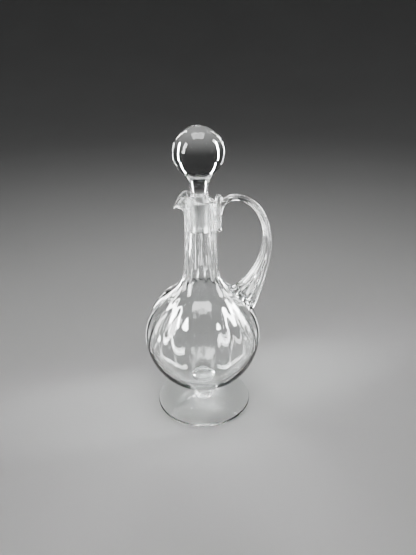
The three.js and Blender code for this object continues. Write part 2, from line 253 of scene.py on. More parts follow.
GROUND_GREY = {"From Min": 0.3, "From Max": 0.7, "To Min": 0.16, "To Max": 0.42}
BODY_RIPPLE_SIZE = 16 * MM
BODY_RIPPLE_DEPTH = 0.05 * MM

neck_top_radius = PLUG_TOP_RADIUS + PLUG_CLEARANCE + LIP_WALL
neck_base_radius = neck_top_radius + NECK_FLARE
rim_height = globe_centre + GLOBE_RADIUS + NECK_LENGTH
lip_start = rim_height - LIP_LENGTH
plug_top = rim_height - PLUG_BELOW_RIM
plug_bottom = plug_top - PLUG_LENGTH


def seat_radius(z):
    """The mouth's ground taper, which follows the plug's."""
    return PLUG_TOP_RADIUS - PLUG_TAPER * (plug_top - z) + PLUG_CLEARANCE


def shoulder(sphere, wall, fillet):
    """The hollow bend between a sphere and an upright wall: its centre and where it starts."""
    apart = sphere + fillet
    centre_r = wall + fillet
    rise = math.sqrt(apart ** 2 - centre_r ** 2)
    return centre_r, rise, math.degrees(math.acos(centre_r / apart))


def straight(first, last, steps):
    """Points of a straight stretch of a profile, with both ends."""
    return [tuple(p) for p in np.linspace(first, last, steps + 1)]


def outside_line(offset):
    """The outside of globe and neck up to where the lip starts, moved outwards by offset."""
    lower, upper, bend, neck = OUTSIDE_STEPS
    sphere = GLOBE_RADIUS + offset
    fillet = SHOULDER_FILLET - offset
    base = neck_base_radius + offset
    centre_r, rise, lean = shoulder(sphere, base, fillet)
    start = globe_centre + rise
    return [
        *round_bend(0.0, globe_centre, sphere, -90, 0, lower),
        *round_bend(0.0, globe_centre, sphere, 0, lean, upper)[1:],
        *round_bend(centre_r, start, fillet, 180 + lean, 180, bend)[1:],
        *straight((base, start), (neck_top_radius + offset, lip_start), neck)[1:],
    ]


def inside_line():
    """The inside, from where the lip starts over the ground mouth and down to the floor."""
    mouth, neck, bend, upper, lower = INSIDE_STEPS
    sphere = GLOBE_RADIUS - GLOBE_WALL
    sphere_z = globe_bottom + GLOBE_FLOOR + sphere
    fillet = SHOULDER_FILLET + NECK_WALL
    base = neck_base_radius - NECK_WALL
    centre_r, rise, lean = shoulder(sphere, base, fillet)
    mouth_end = (seat_radius(plug_bottom), plug_bottom)
    return [
        *straight((seat_radius(lip_start), lip_start), mouth_end, mouth)[1:],
        *straight(mouth_end, (base, sphere_z + rise), neck)[1:],
        *round_bend(centre_r, sphere_z + rise, fillet, 180, 180 + lean, bend)[1:],
        *round_bend(0.0, sphere_z, sphere, lean, 0, upper)[1:],
        *round_bend(0.0, sphere_z, sphere, 0, -90, lower)[1:],
    ]


rim_round = (neck_top_radius - seat_radius(rim_height)) / 2
rim_r = neck_top_radius - rim_round
rim_z = rim_height - rim_round
outer_line = [
    *outside_line(0.0),
    *straight((neck_top_radius, lip_start), (neck_top_radius, rim_z), LIP_OUT_STEPS)[1:],
]
lip_bend = round_bend(rim_r, rim_z, rim_round, 0, 180, LIP_BEND_STEPS)[1:-1]
inner_line = [
    *straight((rim_r - rim_round, rim_z), (seat_radius(lip_start), lip_start), LIP_IN_STEPS),
    *inside_line(),
]
body_line = [*outer_line, *lip_bend, *inner_line]
lip_turns = np.linspace(0, math.pi, LIP_BEND_STEPS + 2)[1:LIP_BEND_STEPS]
body_outside = [
    *[1.0] * len(outer_line),
    *[(1 + math.cos(t)) / 2 for t in lip_turns],
    *[0.0] * len(inner_line),
]


class Reckoned:
    """A number that nodes work out for every point of a shape."""

    def __init__(self, tree, socket):
        self.tree = tree
        self.socket = socket

    def give(self, socket, value):
        """Gives a node's socket another reckoned number, or a plain one."""
        if isinstance(value, Reckoned):
            self.tree.links.new(value.socket, socket)
        else:
            socket.default_value = value

    def worked(self, operation, *values):
        node = self.tree.nodes.new("ShaderNodeMath")
        node.operation = operation
        for socket, value in zip(node.inputs, values):
            self.give(socket, value)
        return Reckoned(self.tree, node.outputs[0])

    def __add__(self, other):
        return self.worked("ADD", self, other)

    def __sub__(self, other):
        return self.worked("SUBTRACT", self, other)

    def __rsub__(self, other):
        return self.worked("SUBTRACT", other, self)

    def __mul__(self, other):
        return self.worked("MULTIPLY", self, other)

    def __truediv__(self, other):
        return self.worked("DIVIDE", self, other)

    def __pow__(self, other):
        return self.worked("POWER", self, other)

    def plain(self, operation, *others):
        return self.worked(operation, self, *others)

    def eased(self, low, high):
        """Goes softly from 0 at low to 1 at high."""
        node = self.tree.nodes.new("ShaderNodeMapRange")
        node.interpolation_type = "SMOOTHSTEP"
        for label, value in (("Value", self), ("From Min", low), ("From Max", high)):
            self.give(node.inputs[label], value)
        return Reckoned(self.tree, node.outputs["Result"])


class RuleTree:
    """A tree of nodes that makes a sheet of points from a line, by a rule with named sizes."""

    def __init__(self, name, sizes):
        self.tree = bpy.data.node_groups.new(name, "GeometryNodeTree")
        sockets = self.tree.interface
        sockets.new_socket(name="Line", in_out="INPUT", socket_type="NodeSocketGeometry")
        for label, value in sizes.items():
            kind = "NodeSocketInt" if isinstance(value, int) else "NodeSocketFloat"
            sockets.new_socket(name=label, in_out="INPUT", socket_type=kind)
        sockets.new_socket(name="Finish", in_out="INPUT", socket_type="NodeSocketMaterial")
        sockets.new_socket(name="Shape", in_out="OUTPUT", socket_type="NodeSocketGeometry")
        self.sizes = sizes
        self.given = self.tree.nodes.new("NodeGroupInput")
        points = self.node("GeometryNodeAttributeDomainSize")
        self.link(self.given.outputs["Line"], points.inputs["Geometry"])
        self.count = Reckoned(self.tree, points.outputs["Point Count"])

    def node(self, kind, **settings):
        node = self.tree.nodes.new(kind)
        for label, value in settings.items():
            setattr(node, label, value)
        return node

    def link(self, source, target):
        self.tree.links.new(source, target)

    def size(self, label):
        return Reckoned(self.tree, self.given.outputs[label])

    def sheet(self, around):
        """A sheet with a row for each point of the line and a column for each step around.

        Gives the angle of each of its points."""
        self.grid = self.node("GeometryNodeMeshGrid")
        self.link((around + 1).socket, self.grid.inputs["Vertices X"])
        self.link(self.count.socket, self.grid.inputs["Vertices Y"])
        index = Reckoned(self.tree, self.node("GeometryNodeInputIndex").outputs["Index"])
        column = (index / self.count + ROUNDING).plain("FLOOR")
        self.row = index - column * self.count
        return column / around * (2 * math.pi)

    def on_line(self, row, label=None):
        """What the line has at a row: its place, or the number stored there under a label."""
        sample = self.node("GeometryNodeSampleIndex", clamp=True)
        sample.data_type = "FLOAT" if label else "FLOAT_VECTOR"
        self.link(self.given.outputs["Line"], sample.inputs["Geometry"])
        self.link((row + 0.5).plain("FLOOR").socket, sample.inputs["Index"])
        if label:
            stored = self.node("GeometryNodeInputNamedAttribute", data_type="FLOAT")
            stored.inputs["Name"].default_value = label
            self.link(stored.outputs["Attribute"], sample.inputs["Value"])
            return Reckoned(self.tree, sample.outputs["Value"])
        place = self.node("GeometryNodeInputPosition")
        self.link(place.outputs["Position"], sample.inputs["Value"])
        split = self.node("ShaderNodeSeparateXYZ")
        self.link(sample.outputs["Value"], split.inputs["Vector"])
        return [Reckoned(self.tree, split.outputs[axis]) for axis in "XYZ"]

    def finish(self, x, y, z, marks):
        """Moves the sheet's points to their places, closes it and gives it its finish."""
        place = self.node("ShaderNodeCombineXYZ")
        for axis, value in zip("XYZ", (x, y, z)):
            self.link(value.socket, place.inputs[axis])
        shape = self.grid.outputs["Mesh"]
        for label, value in marks.items():
            store = self.node("GeometryNodeStoreNamedAttribute", data_type="FLOAT", domain="POINT")
            store.inputs["Name"].default_value = label
            self.link(shape, store.inputs["Geometry"])
            self.link(value.socket, store.inputs["Value"])
            shape = store.outputs["Geometry"]
        moved = self.node("GeometryNodeSetPosition")
        closed = self.node("GeometryNodeMergeByDistance")
        closed.inputs["Distance"].default_value = WELD
        smooth = self.node("GeometryNodeSetShadeSmooth")
        real = self.node("GeometryNodeRealizeInstances")
        coat = self.node("GeometryNodeSetMaterial")
        self.link(place.outputs["Vector"], moved.inputs["Position"])
        self.link(self.given.outputs["Finish"], coat.inputs["Material"])
        for step in (moved, closed, smooth, real, coat):
            self.link(shape, step.inputs["Geometry"])
            shape = step.outputs["Geometry"]
        self.link(shape, self.node("NodeGroupOutput").inputs["Shape"])

    def made(self, name, line, finish, marks=None, changed=None):
        """The plain mesh that the rule makes from a profile, with some of its sizes changed."""
        mesh = bpy.data.meshes.new(name + "_line")
        points = [(out, 0.0, up) for out, up in line]
        mesh.from_pydata(points, [(i, i + 1) for i in range(len(points) - 1)], [])
        for label, values in (marks or {}).items():
            mesh.attributes.new(label, "FLOAT", "POINT").data.foreach_set("value", values)
        holder = bpy.data.objects.new(name + "_line", mesh)
        bpy.context.scene.collection.objects.link(holder)
        modifier = holder.modifiers.new(name, "NODES")
        modifier.node_group = self.tree
        sizes = {**self.sizes, **(changed or {}), "Finish": finish}
        for item in self.tree.interface.items_tree:
            if item.in_out == "INPUT" and item.name in sizes:
                modifier[item.identifier] = sizes[item.name]
        ready = holder.evaluated_get(bpy.context.evaluated_depsgraph_get())
        shape = bpy.data.meshes.new_from_object(ready)
        shape.name = name
        holder.modifiers.remove(modifier)
        bpy.data.objects.remove(holder)
        return shape


blown = RuleTree("blown_body", {
    "Segments": BODY_SEGMENTS,
    "Neck Start": globe_centre + shoulder(GLOBE_RADIUS, neck_base_radius, SHOULDER_FILLET)[1],
    "Neck Base Radius": neck_base_radius,
    "Neck Top Radius": neck_top_radius,
    "Lip Start": lip_start,
    "Lip Length": LIP_LENGTH,
    "Flute Count": 12,
    "Flute Depth": 1.0 * MM,
    "Flute Fade": 9 * MM,
    "Wheel Radius": 23 * MM,
    "Edge Softness": 0.25 * MM,
    "Rim Lift": 10.1 * MM,
    "Spout Reach": 10.2 * MM,
    "Spout Reach Angle": math.radians(28),
    "Spout Dip": 14.5 * MM,
    "Spout Dip Angle": math.radians(20),
    "Spout Thickening": 2 * MM,
    "Drop Reach": 0.6 * MM,
    "Drop Sag": 3.0 * MM,
    "Drop Angle": math.radians(15),
    "Mouth Bottom": plug_bottom,
    "Mouth Taper": PLUG_TAPER,
    "Rib Count": 24,
    "Rib Depth": 0.35 * MM,
    "Globe Centre": globe_centre,
    "Globe Radius": GLOBE_RADIUS,
})
angle = blown.sheet(blown.size("Segments"))
turn = angle.plain("COSINE")
away = (angle - math.pi).plain("ABSOLUTE")
line_r, _, line_z = blown.on_line(blown.row)
outside = blown.on_line(blown.row, "outside")


def spout_bump(width):
    """One where the spout points, falling away smoothly to both sides."""
    return ((away / width) ** 2 * -1.0).plain("EXPONENT")


lip_share = (line_z - blown.size("Lip Start")) / blown.size("Lip Length")
up_lip = lip_share.plain("MAXIMUM", 0.0).plain("MINIMUM", 1.0)
lift = blown.size("Rim Lift") * ((1.0 - turn) / 2) ** 2
climb = up_lip ** 2 * (lift - blown.size("Spout Dip") * spout_bump(blown.size("Spout Dip Angle")))
reach = blown.size("Spout Reach") - blown.size("Spout Thickening") * (1.0 - outside)
pull = up_lip ** 3 * reach * spout_bump(blown.size("Spout Reach Angle"))
drop = up_lip ** 6 * outside * spout_bump(blown.size("Drop Angle"))

comb = (angle * blown.size("Flute Count") / 2).plain("COSINE").plain("ABSOLUTE")
rim = blown.size("Lip Start") + blown.size("Lip Length")
rim_fade = 1.0 - line_z.eased(rim - blown.size("Flute Fade"), rim)
neck_run = blown.size("Lip Start") - blown.size("Neck Start")
up_neck = ((line_z - blown.size("Neck Start")) / neck_run).plain("MINIMUM", 1.0)
neck_narrowing = blown.size("Neck Top Radius") - blown.size("Neck Base Radius")
neck_line = blown.size("Neck Base Radius") + up_neck * neck_narrowing
below = (blown.size("Neck Start") - line_z).plain("MAXIMUM", 0.0)
run_out = below ** 2 / blown.size("Wheel Radius") / 2
cut = neck_line + run_out - blown.size("Flute Depth") * comb * rim_fade
cut_r = line_r.plain("SMOOTH_MIN", cut, blown.size("Edge Softness"))

height_in_globe = (line_z - blown.size("Globe Centre")) / blown.size("Globe Radius")
globe_share = (1.0 - height_in_globe ** 2).plain("MAXIMUM", 0.0)
rib_share = height_in_globe.eased(RIB_START, RIB_FULL) * globe_share
rib = blown.size("Rib Depth") * (angle * blown.size("Rib Count")).plain("COSINE") * rib_share
open_up = climb.plain("MAXIMUM", 0.0) * blown.size("Mouth Taper")
inside_r = line_r + open_up + rib
radius = outside * cut_r + (1.0 - outside) * inside_r + pull + drop * blown.size("Drop Reach")

mouth_bottom = blown.size("Mouth Bottom")
mouth_zone = line_z.eased(mouth_bottom - GROUND_EDGE, mouth_bottom + GROUND_EDGE)
neck_zone = line_z.eased(blown.size("Neck Start") - DRAWN_FADE, blown.size("Neck Start"))
blown.finish(
    radius * turn, radius * angle.plain("SINE"), line_z + climb - drop * blown.size("Drop Sag"),
    {"ground": (1.0 - outside) * mouth_zone, "drawn": outside * neck_zone})


def streak(glass, ground_zone, drawn_zone, streak_depth):
    """Draws fine upright streaks into the glass in one zone, and grinds it grey in another."""
    tree = glass.node_tree
    shader = tree.nodes["Principled BSDF"]
    stretch = tree.nodes.new("ShaderNodeMapping")
    stretch.inputs["Scale"].default_value = (
        1 / STREAK_WIDTH, 1 / STREAK_WIDTH, 1 / STREAK_LENGTH)
    tree.links.new(tree.nodes["Texture Coordinate"].outputs["Object"], stretch.inputs["Vector"])
    lines = tree.nodes.new("ShaderNodeTexNoise")
    lines.inputs["Scale"].default_value = 1.0
    lines.inputs["Detail"].default_value = STREAK_DETAIL
    tree.links.new(stretch.outputs["Vector"], lines.inputs["Vector"])
    height = tree.nodes.new("ShaderNodeMath")
    height.operation = "MULTIPLY"
    tree.links.new(lines.outputs["Fac"], height.inputs[0])
    tree.links.new(drawn_zone, height.inputs[1])
    drawn = tree.nodes.new("ShaderNodeBump")
    drawn.inputs["Distance"].default_value = streak_depth
    tree.links.new(height.outputs["Value"], drawn.inputs["Height"])
    tree.links.new(tree.nodes["Bump"].outputs["Normal"], drawn.inputs["Normal"])
    tree.links.new(drawn.outputs["Normal"], shader.inputs["Normal"])
    grit = tree.nodes.new("ShaderNodeMapRange")
    for label, value in GROUND_GREY.items():
        grit.inputs[label].default_value = value
    tree.links.new(lines.outputs["Fac"], grit.inputs["Value"])
    grey = tree.nodes.new("ShaderNodeMath")
    grey.operation = "MULTIPLY_ADD"
    tree.links.new(ground_zone, grey.inputs[0])
    tree.links.new(grit.outputs["Result"], grey.inputs[1])
    tree.links.new(tree.nodes["polish"].outputs["Result"], grey.inputs[2])
    tree.links.new(grey.outputs["Value"], shader.inputs["Roughness"])


def marked(glass, label):
    """The share that a mesh's own points were marked with."""
    mark = glass.node_tree.nodes.new("ShaderNodeAttribute")
    mark.attribute_name = label
    return mark.outputs["Fac"]


body_glass = clear_glass("blown_glass", BODY_RIPPLE_SIZE, BODY_RIPPLE_DEPTH)
streak(
    body_glass, marked(body_glass, "ground"), marked(body_glass, "drawn"), NECK_STREAK_DEPTH)
body_mesh = blown.made("blown_body", body_line, body_glass, {"outside": body_outside})
body = set_in_place(body_mesh, body_glass, "body", "jug")


# Handle: a rod of clear glass drawn through a reeded mould. Its thick end was pressed onto
# the globe, and the rod was looped up and over, laid down the neck in one of the flutes and
# cut off in a nib.
HANDLE_REACH = 64.8 * MM
HANDLE_OUTERMOST_DROP = 43.5 * MM
HANDLE_CROWN_RISE = 2.6 * MM
HANDLE_CROWN_OUT = 18 * MM
HANDLE_TOP_THICKNESS = 6.4 * MM
HANDLE_TOP_WIDTH = 7.4 * MM
HANDLE_PAD_LENGTH = 39 * MM
HANDLE_PAD_WIDTH = 23 * MM
HANDLE_PAD_ANGLE = math.radians(44)
HANDLE_PAD_DEPTH = 6 * MM
HANDLE_SWELL_POWER = 4.8
HANDLE_TAIL = 31.4 * MM
HANDLE_TAIL_THICKNESS = 7.2 * MM
HANDLE_TAIL_PROUD = 5.2 * MM
HANDLE_END_ROUNDS = (0.012, 0.006)
HANDLE_ROWS = 200
ROOT_PULL = 0.3
CROWN_PULLS = (-0.46, 0.25)
OUTERMOST_PULLS = (0.6, -0.27)
PAD_PULL = 0.3
CURVE_POINTS = 200
NIB_RISE = 5.4 * MM
NIB_WIDTH = 6.4 * MM
NIB_LEAN = 1.2 * MM
NIB_END_ROUNDS = (0.1, 0.12)
NIB_ROWS = 40
REED_COUNT = 10
REED_DEPTH = 0.13
STEPS_PER_REED = 12
BEAD_PLACE = (30.4 * MM, 136.4 * MM)
BEAD_SIZE = (3.0 * MM, 6.5 * MM, 2.4 * MM)
BEAD_LEAN = math.radians(30)
EYE_PLACE = (16.7 * MM, 201.8 * MM)
EYE_SIZE = (0.7 * MM, 12 * MM, 1.1 * MM)
ROUND_STEPS = 24
ROUND_SEGMENTS = 48
ROOM_STEPS = 16
CREASE = math.radians(50)
HANDLE_RIPPLE_SIZE = 5 * MM
HANDLE_RIPPLE_DEPTH = 0.02 * MM
UP = (0.0, 1.0)
OUT = (1.0, 0.0)


def pulled_curve(first, first_way, first_pull, last, last_way, last_pull):
    """A curve between two points that holds a direction at each, as strongly as its pull."""
    first, first_way, last, last_way = (
        np.array(p, float) for p in (first, first_way, last, last_way))
    span = np.linalg.norm(last - first)
    leaving = first + first_way * first_pull * span
    arriving = last + last_way * last_pull * span
    shares = np.linspace(0.0, 1.0, CURVE_POINTS)[1:, None]
    return ((1 - shares) ** 3 * first + 3 * (1 - shares) ** 2 * shares * leaving
            + 3 * (1 - shares) * shares ** 2 * arriving + shares ** 3 * last)


def evenly(points, count):
    """The same line with its points at even steps along it, and its length."""
    points = np.array(points)
    gaps = np.linalg.norm(np.diff(points, axis=0), axis=1)
    reached = np.concatenate([[0.0], np.cumsum(gaps)])
    steps = np.linspace(0.0, reached[-1], count)
    line = np.stack([np.interp(steps, reached, points[:, k]) for k in (0, 1)], axis=1)
    return line, reached[-1]


tail_x = neck_top_radius + HANDLE_TAIL_PROUD - HANDLE_TAIL_THICKNESS / 2
tail = (tail_x, rim_height - HANDLE_TAIL)
root = (tail_x, lip_start)
crown = (neck_top_radius + HANDLE_CROWN_OUT, rim_height + HANDLE_CROWN_RISE)
outermost = (HANDLE_REACH, rim_height - HANDLE_OUTERMOST_DROP)
pad_way = (math.sin(HANDLE_PAD_ANGLE), math.cos(HANDLE_PAD_ANGLE))
pad_deep = GLOBE_RADIUS - HANDLE_PAD_DEPTH
pad = (pad_way[0] * pad_deep, globe_centre + pad_way[1] * pad_deep)
handle_line, handle_length = evenly(np.vstack([
    [tail, root],
    pulled_curve(root, UP, ROOT_PULL, crown, OUT, CROWN_PULLS[0]),
    pulled_curve(crown, OUT, CROWN_PULLS[1], outermost, UP, OUTERMOST_PULLS[0]),
    pulled_curve(outermost, UP, OUTERMOST_PULLS[1], pad, pad_way, PAD_PULL),
]), HANDLE_ROWS)

reeded = RuleTree("reeded_rod", {
    "Reeds": REED_COUNT,
    "Steps Per Reed": STEPS_PER_REED,
    "Reed Depth": REED_DEPTH,
    "Tail Thickness": HANDLE_TAIL_THICKNESS,
    "Tail Share": HANDLE_TAIL / handle_length,
    "Thickness": HANDLE_TOP_THICKNESS,
    "Width": HANDLE_TOP_WIDTH,
    "Pad Length": HANDLE_PAD_LENGTH,
    "Pad Width": HANDLE_PAD_WIDTH,
    "Swell Power": HANDLE_SWELL_POWER,
    "Start Round": HANDLE_END_ROUNDS[0],
    "End Round": HANDLE_END_ROUNDS[1],
})


def end_round(share):
    """Squared, it goes round from 0 at an end of the rod to 1 where its rounding stops."""
    inwards = share.plain("MINIMUM", 1.0)
    return (inwards * (2.0 - inwards)).plain("MAXIMUM", 0.0)


rod_angle = reeded.sheet(reeded.size("Reeds") * reeded.size("Steps Per Reed"))
mid_x, mid_y, mid_z = reeded.on_line(reeded.row)
next_x, _, next_z = reeded.on_line(reeded.row + 1)
last_x, _, last_z = reeded.on_line(reeded.row - 1)
way_x = next_x - last_x
way_z = next_z - last_z
way = (way_x ** 2 + way_z ** 2) ** 0.5
along = reeded.row / (reeded.count - 1)
swell = along ** reeded.size("Swell Power")
free = along.eased(0.0, reeded.size("Tail Share"))
start = end_round(along / reeded.size("Start Round"))
end = end_round((1.0 - along) / reeded.size("End Round"))
rounded = (start * end) ** 0.5
thinning = reeded.size("Thickness") - reeded.size("Tail Thickness")
top = reeded.size("Tail Thickness") + free * thinning
thickness = rounded * (top + swell * (reeded.size("Pad Length") - reeded.size("Thickness")))
widening = reeded.size("Pad Width") - reeded.size("Width")
width = rounded * (reeded.size("Width") + swell * widening)
crest = (rod_angle * reeded.size("Reeds") / 2).plain("COSINE").plain("ABSOLUTE")
reed = (1.0 - reeded.size("Reed Depth") * (1.0 - crest)) / 2
in_plane = reed * thickness * rod_angle.plain("COSINE")
across = reed * width * rod_angle.plain("SINE")
reeded.finish(
    mid_x + in_plane * way_z / way, mid_y + across, mid_z - in_plane * way_x / way, {})

handle_glass = clear_glass("drawn_handle_glass", HANDLE_RIPPLE_SIZE, HANDLE_RIPPLE_DEPTH)
rod_mesh = reeded.made("handle_rod", handle_line, handle_glass)
nib_top = (tail_x + NIB_LEAN, rim_height + NIB_RISE)
nib_mesh = reeded.made("handle_nib", evenly([root, nib_top], NIB_ROWS)[0], handle_glass, changed={
    "Thickness": HANDLE_TAIL_THICKNESS,
    "Width": NIB_WIDTH,
    "Pad Length": HANDLE_TAIL_THICKNESS,
    "Pad Width": NIB_WIDTH,
    "Start Round": NIB_END_ROUNDS[0],
    "End Round": NIB_END_ROUNDS[1],
})
room_radius = neck_top_radius - FUSED
room_line = [
    *outside_line(-FUSED),
    *straight((room_radius, lip_start), (room_radius, rim_height), ROOM_STEPS)[1:],
    (room_radius, rim_height + 2 * NIB_RISE),
    (0.0, lip_start),
]
room_mesh = blown.made("jug_room", room_line, handle_glass, {"outside": [1.0] * len(room_line)})


def joined(name, first, second, operation):
    """One plain mesh from two: both together, or the first with the second cut away."""
    holders = [bpy.data.objects.new(mesh.name, mesh) for mesh in (first, second)]
    for holder in holders:
        bpy.context.scene.collection.objects.link(holder)
    modifier = holders[0].modifiers.new(name, "BOOLEAN")
    modifier.operation = operation
    modifier.solver = "EXACT"
    modifier.object = holders[1]
    ready = holders[0].evaluated_get(bpy.context.evaluated_depsgraph_get())
    mesh = bpy.data.meshes.new_from_object(ready)
    mesh.name = name
    for holder in holders:
        bpy.data.objects.remove(holder)
    return mesh


def without_folds(mesh):
    """Puts the mesh in triangles, without the folds of no thickness that cutting leaves."""
    work = bmesh.new()
    work.from_mesh(mesh)
    bmesh.ops.remove_doubles(work, verts=work.verts, dist=WELD)
    bmesh.ops.dissolve_degenerate(work, edges=work.edges, dist=WELD)
    bmesh.ops.triangulate(work, faces=work.faces)
    corners = {}
    for face in work.faces:
        corners.setdefault(frozenset(face.verts), []).append(face)
    folds = [face for twins in corners.values() if len(twins) > 1 for face in twins]
    bmesh.ops.delete(work, geom=folds, context="FACES")
    work.to_mesh(mesh)
    work.free()


def rounded_off(name, place, size, lean):
    """A round body of glass with a half-size along, across and out of the handle's plane."""
    mesh = turned(name, round_bend(0.0, 0.0, 1.0, -90, 90, ROUND_STEPS), ROUND_SEGMENTS)
    moved = Matrix.Translation((place[0], 0.0, place[1]))
    mesh.transform(moved @ Matrix.Rotation(lean, 4, "Y") @ Matrix.Diagonal((*size, 1.0)))
    return mesh


bead_mesh = rounded_off("handle_bead", BEAD_PLACE, BEAD_SIZE, BEAD_LEAN)
eye_mesh = rounded_off("handle_eye", EYE_PLACE, EYE_SIZE, 0.0)
handle_mesh = joined("handle_drawn", rod_mesh, nib_mesh, "UNION")
handle_mesh = joined("handle_beaded", handle_mesh, bead_mesh, "UNION")
handle_mesh = joined("handle_eyed", handle_mesh, eye_mesh, "DIFFERENCE")
handle_mesh = joined("handle_reeded", handle_mesh, room_mesh, "DIFFERENCE")
without_folds(handle_mesh)
handle_mesh.set_sharp_from_angle(angle=CREASE)
handle = set_in_place(handle_mesh, handle_glass, "handle", "jug")


# Stopper: a solid ball of clear glass on a waisted shank, made hot in one piece.
# Its tapered plug is ground with grit to fit the mouth, and it lifts out by hand.
BALL_RADIUS = 23.8 * MM
PIP_RADIUS = 2.4 * MM
PIP_HEIGHT = 0.6 * MM
SHANK_INSET = 4.4 * MM
SHANK_UPPER_FILLET = 24 * MM
SHANK_LOWER_FILLET = 15 * MM
PLUG_EDGE = 1.2 * MM
PLUG_RINGS = (0.25, 0.5, 0.75, 0.9)
PLUG_EDGE_STEPS = 8
PLUG_STEPS = 20
PLUG_SHOULDER_STEPS = 6
SKIRT_STEPS = 20
SHANK_STEPS = 28
BALL_STEPS = 72
PIP_STEPS = 6
STOPPER_SEGMENTS = 160
GROUND_LOW = (0.4 * MM, PLUG_EDGE)  # where the grey starts and is full, above the plug's bottom
GROUND_HIGH = (0.6 * MM, -0.4 * MM)  # and the same above the plug's top
PLUG_STREAK_DEPTH = 0.05 * MM
STOPPER_RIPPLE_SIZE = 20 * MM
STOPPER_RIPPLE_DEPTH = 0.02 * MM

shank = PLUG_TOP_RADIUS - SHANK_INSET
skirt_centre = shank + SHANK_LOWER_FILLET
skirt = math.acos((skirt_centre - PLUG_TOP_RADIUS + PLUG_EDGE) / SHANK_LOWER_FILLET)
skirt_lean = 180 + math.degrees(skirt)
waist_z = plug_top + PLUG_EDGE + SHANK_LOWER_FILLET * math.sin(skirt)
ball_bend, ball_rise, ball_lean = shoulder(BALL_RADIUS, shank, SHANK_UPPER_FILLET)
ball_z = waist_z + ball_rise
pip_angle = math.degrees(math.acos(PIP_RADIUS / BALL_RADIUS))
pip_top = ball_z + BALL_RADIUS + PIP_HEIGHT
plug_low = PLUG_TOP_RADIUS - PLUG_TAPER * (PLUG_LENGTH - PLUG_EDGE)
plug_flat = plug_low - PLUG_EDGE
stopper_profile = [
    (0.0, plug_bottom),
    *[(plug_flat * share, plug_bottom) for share in PLUG_RINGS],
    *round_bend(plug_flat, plug_bottom + PLUG_EDGE, PLUG_EDGE, -90, 0, PLUG_EDGE_STEPS),
    *straight((plug_low, plug_bottom + PLUG_EDGE), (PLUG_TOP_RADIUS, plug_top), PLUG_STEPS)[1:],
    *soft_bend(
        (PLUG_TOP_RADIUS, plug_top), (PLUG_TOP_RADIUS, plug_top + PLUG_EDGE),
        (PLUG_TOP_RADIUS - PLUG_EDGE, plug_top + PLUG_EDGE), PLUG_SHOULDER_STEPS)[1:],
    *round_bend(skirt_centre, waist_z, SHANK_LOWER_FILLET, skirt_lean, 180, SKIRT_STEPS)[1:],
    *round_bend(ball_bend, waist_z, SHANK_UPPER_FILLET, 180, 180 - ball_lean, SHANK_STEPS)[1:],
    *round_bend(0.0, ball_z, BALL_RADIUS, -ball_lean, pip_angle, BALL_STEPS)[1:],
    *soft_bend(
        (PIP_RADIUS, ball_z + BALL_RADIUS * math.sin(math.radians(pip_angle))),
        (PIP_RADIUS / 2, pip_top), (0.0, pip_top), PIP_STEPS)[1:],
]
stopper_glass = clear_glass("stopper_glass", STOPPER_RIPPLE_SIZE, STOPPER_RIPPLE_DEPTH)
plug_tree = stopper_glass.node_tree
plug_place = plug_tree.nodes.new("ShaderNodeSeparateXYZ")
plug_tree.links.new(
    plug_tree.nodes["Texture Coordinate"].outputs["Object"], plug_place.inputs["Vector"])
plug_zone = plug_tree.nodes.new("ShaderNodeMath")
plug_zone.operation = "MULTIPLY"
for k, (level, (clear, full)) in enumerate(((plug_bottom, GROUND_LOW), (plug_top, GROUND_HIGH))):
    edge = plug_tree.nodes.new("ShaderNodeMapRange")
    edge.inputs["From Min"].default_value = level + clear
    edge.inputs["From Max"].default_value = level + full
    plug_tree.links.new(plug_place.outputs["Z"], edge.inputs["Value"])
    plug_tree.links.new(edge.outputs["Result"], plug_zone.inputs[k])
streak(stopper_glass, plug_zone.outputs["Value"], plug_zone.outputs["Value"], PLUG_STREAK_DEPTH)
stopper_mesh = turned("ball_stopper", stopper_profile, STOPPER_SEGMENTS)
stopper = set_in_place(stopper_mesh, stopper_glass, "stopper", "stopper")


# Floor: a wide, pale, plain sweep that the jug stands on, bent up all round like a studio's
# backdrop. It is painted matt and is no part of the jug.
FLOOR_DROP = 0.3 * MM
FLOOR_THICKNESS = 0.05
FLOOR_SEGMENTS = 120
SWEEP_START = 1.5
SWEEP_RADIUS = 2.2
SWEEP_STEPS = 30
FLOOR_SHADES = ((0.60, 0.60, 0.595, 1.0), (0.66, 0.66, 0.655, 1.0))
FLOOR_CLOUDS_PER_METRE = 3.0
FLOOR_ROUGHNESS = 0.45

floor_edge = SWEEP_START + SWEEP_RADIUS + FLOOR_THICKNESS
sweep_top = SWEEP_RADIUS - FLOOR_DROP
floor_profile = [
    (0.0, -FLOOR_THICKNESS), (floor_edge, -FLOOR_THICKNESS), (floor_edge, sweep_top),
    *round_bend(SWEEP_START, sweep_top, SWEEP_RADIUS, 0, -90, SWEEP_STEPS),
    (SWEEP_START / 2, -FLOOR_DROP), (0.0, -FLOOR_DROP),
]
floor_paint = bpy.data.materials.new("pale_floor_paint")
floor_paint.use_nodes = True
floor_tree = floor_paint.node_tree
floor_shader = floor_tree.nodes["Principled BSDF"]
floor_shader.inputs["Roughness"].default_value = FLOOR_ROUGHNESS
floor_place = floor_tree.nodes.new("ShaderNodeTexCoord")
cloud = floor_tree.nodes.new("ShaderNodeTexNoise")
cloud.inputs["Scale"].default_value = FLOOR_CLOUDS_PER_METRE
shade = floor_tree.nodes.new("ShaderNodeValToRGB")
for element, colour in zip(shade.color_ramp.elements, FLOOR_SHADES):
    element.color = colour
floor_tree.links.new(floor_place.outputs["Object"], cloud.inputs["Vector"])
floor_tree.links.new(cloud.outputs["Fac"], shade.inputs["Fac"])
floor_tree.links.new(shade.outputs["Color"], floor_shader.inputs["Base Color"])
floor_mesh = turned("pale_floor", floor_profile, FLOOR_SEGMENTS)
floor_mesh.materials.append(floor_paint)
floor = bpy.data.objects.new("pale_floor", floor_mesh)
